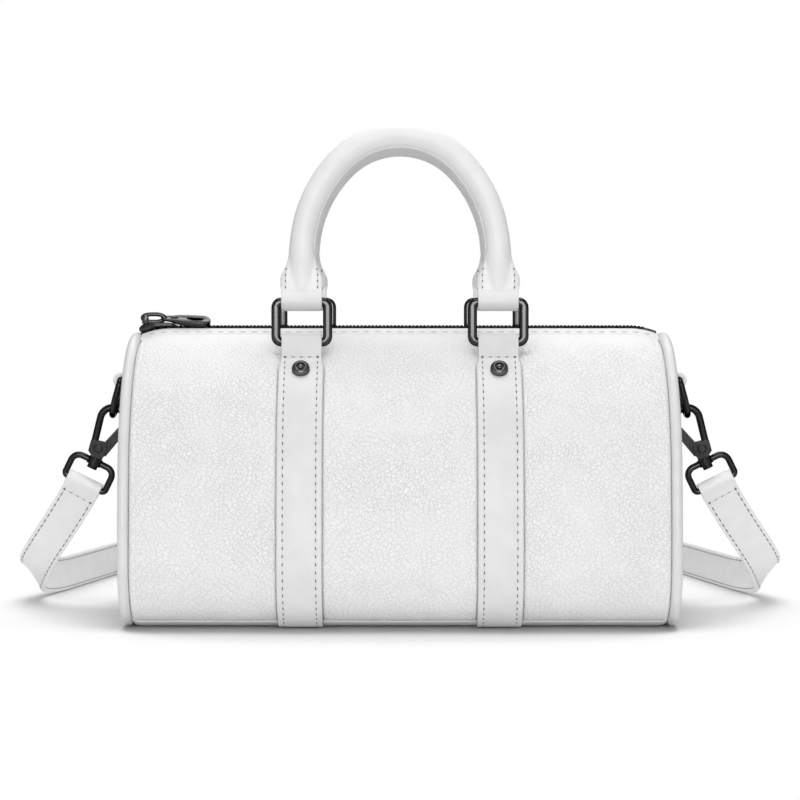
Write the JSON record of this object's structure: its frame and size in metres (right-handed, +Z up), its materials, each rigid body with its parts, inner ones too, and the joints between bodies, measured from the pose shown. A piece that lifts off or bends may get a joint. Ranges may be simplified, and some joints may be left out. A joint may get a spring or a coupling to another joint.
{
  "type": "barrel bag",
  "caption": "Domed barrel handbag with a top zip, rolled handles on rectangular rings, wrapped bands and a shoulder strap on swivel snap hooks",
  "frame": {"origin": "on the floor, at the centre of the flat base", "axes": "+X along the zip to the right in the picture, +Y towards the back of the bag, +Z up"},
  "size_m": [0.3644, 0.3185, 0.2273],
  "materials": {
    "pebbled_leather": "fine pebbled grain, soft sheen",
    "smooth_leather": "smooth, soft sheen",
    "lining_cloth": "plain woven cloth",
    "base_board": "matte board",
    "zip_tape": "woven tape",
    "zip_metal": "dark plated, semi-gloss",
    "dark_metal": "gunmetal plated, glossy",
    "handle_cord": "plain cord filler",
    "pin_steel": "dark steel"
  },
  "bodies": {
    "bag": {"front_panel": "pebbled_leather", "back_panel": "pebbled_leather", "base_panel": "smooth_leather", "left_end_panel": "pebbled_leather", "right_end_panel": "pebbled_leather", "left_piping": "smooth_leather", "right_piping": "smooth_leather", "lining": "lining_cloth", "base_board": "base_board", "front_placket": "smooth_leather", "back_placket": "smooth_leather", "front_zip_tape": "zip_tape", "back_zip_tape": "zip_tape", "front_zip_teeth": "zip_metal", "back_zip_teeth": "zip_metal", "zip_stops": "zip_metal", "left_band": "smooth_leather", "right_band": "smooth_leather", "band_rivets": "dark_metal", "left_side_tab": "smooth_leather", "right_side_tab": "smooth_leather", "left_strap_end": "smooth_leather", "right_strap_end": "smooth_leather", "strap_middle": "smooth_leather"},
    "front_left_ring": {"front_left_ring": "dark_metal"},
    "front_right_ring": {"front_right_ring": "dark_metal"},
    "back_left_ring": {"back_left_ring": "dark_metal"},
    "back_right_ring": {"back_right_ring": "dark_metal"},
    "front_handle": {"front_handle": "smooth_leather", "front_handle_core": "handle_cord", "front_left_handle_tab": "smooth_leather", "front_right_handle_tab": "smooth_leather"},
    "back_handle": {"back_handle": "smooth_leather", "back_handle_core": "handle_cord", "back_left_handle_tab": "smooth_leather", "back_right_handle_tab": "smooth_leather"},
    "zip_slider": {"zip_slider": "zip_metal"},
    "pull_link": {"pull_link": "zip_metal"},
    "pull_tab": {"pull_tab": "zip_metal"},
    "left_d_ring": {"left_d_ring": "dark_metal"},
    "left_strap_frame": {"left_strap_frame": "dark_metal"},
    "left_hook": {"left_hook": "dark_metal", "left_gate_pin": "pin_steel", "left_gate_spring": "pin_steel"},
    "left_gate": {"left_gate": "dark_metal"},
    "right_d_ring": {"right_d_ring": "dark_metal"},
    "right_strap_frame": {"right_strap_frame": "dark_metal"},
    "right_hook": {"right_hook": "dark_metal", "right_gate_pin": "pin_steel", "right_gate_spring": "pin_steel"},
    "right_gate": {"right_gate": "dark_metal"}
  },
  "joints": [
    {"name": "front_left_ring_hinge", "type": "hinge", "parent": "bag", "child": "front_left_ring", "pos_m": [-0.0445, -0.0344, 0.12802], "axis": [1, 0, 0], "range_deg": [-12, 95]},
    {"name": "front_right_ring_hinge", "type": "hinge", "parent": "bag", "child": "front_right_ring", "pos_m": [0.0445, -0.0344, 0.12802], "axis": [1, 0, 0], "range_deg": [-12, 95]},
    {"name": "front_handle_hinge", "type": "hinge", "parent": "front_left_ring", "child": "front_handle", "pos_m": [-0.0445, -0.0344, 0.14622], "axis": [1, 0, 0], "range_deg": [-5, 55]},
    {"name": "back_left_ring_hinge", "type": "hinge", "parent": "bag", "child": "back_left_ring", "pos_m": [-0.0445, 0.0344, 0.12802], "axis": [-1, 0, 0], "range_deg": [-12, 95]},
    {"name": "back_right_ring_hinge", "type": "hinge", "parent": "bag", "child": "back_right_ring", "pos_m": [0.0445, 0.0344, 0.12802], "axis": [-1, 0, 0], "range_deg": [-12, 95]},
    {"name": "back_handle_hinge", "type": "hinge", "parent": "back_left_ring", "child": "back_handle", "pos_m": [-0.0445, 0.0344, 0.14622], "axis": [-1, 0, 0], "range_deg": [-5, 55]},
    {"name": "zip_slide", "type": "slide", "parent": "bag", "child": "zip_slider", "axis": [1, 0, 0], "range_m": [0, 0.215], "deforming": ["front_zip_teeth", "back_zip_teeth"]},
    {"name": "pull_link_hinge", "type": "hinge", "parent": "zip_slider", "child": "pull_link", "pos_m": [-0.1188, 0, 0.13875], "axis": [0, -1, 0], "range_deg": [0, 60]},
    {"name": "pull_tab_hinge", "type": "hinge", "parent": "pull_link", "child": "pull_tab", "pos_m": [-0.1116, 0, 0.13875], "axis": [0, -1, 0], "range_deg": [0, 60]},
    {"name": "left_d_ring_hinge", "type": "hinge", "parent": "bag", "child": "left_d_ring", "pos_m": [-0.1298, 0, 0.1098], "axis": [0, 1, 0], "range_deg": [-3.6, 0.6]},
    {"name": "left_frame_hinge", "type": "hinge", "parent": "bag", "child": "left_strap_frame", "pos_m": [-0.14782, 0, 0.06142], "axis": [0.8988, 0, -0.4384], "range_deg": [-0.7, 0.7]},
    {"name": "left_hook_swivel", "type": "hinge", "parent": "left_strap_frame", "child": "left_hook", "pos_m": [-0.14283, 0, 0.07167], "axis": [0.4384, 0, 0.8988], "range_deg": [-11, 11]},
    {"name": "left_gate_hinge", "type": "hinge", "parent": "left_hook", "child": "left_gate", "pos_m": [-0.14095, 0, 0.07779], "axis": [0, -1, 0], "range_deg": [0, 20], "stiffness_Nm_per_rad": 0.005, "deforming": ["left_gate_spring"]},
    {"name": "right_d_ring_hinge", "type": "hinge", "parent": "bag", "child": "right_d_ring", "pos_m": [0.1298, 0, 0.1098], "axis": [0, -1, 0], "range_deg": [-3.6, 0.6]},
    {"name": "right_frame_hinge", "type": "hinge", "parent": "bag", "child": "right_strap_frame", "pos_m": [0.14782, 0, 0.06142], "axis": [-0.8988, 0, -0.4384], "range_deg": [-0.7, 0.7]},
    {"name": "right_hook_swivel", "type": "hinge", "parent": "right_strap_frame", "child": "right_hook", "pos_m": [0.14283, 0, 0.07167], "axis": [-0.4384, 0, 0.8988], "range_deg": [-11, 11]},
    {"name": "right_gate_hinge", "type": "hinge", "parent": "right_hook", "child": "right_gate", "pos_m": [0.14095, 0, 0.07779], "axis": [0, 1, 0], "range_deg": [0, 20], "stiffness_Nm_per_rad": 0.005, "deforming": ["right_gate_spring"]}
  ],
  "couplings": [
    {"joint": "front_right_ring_hinge", "follows": "front_left_ring_hinge", "ratio": 1},
    {"joint": "back_right_ring_hinge", "follows": "back_left_ring_hinge", "ratio": 1}
  ]
}
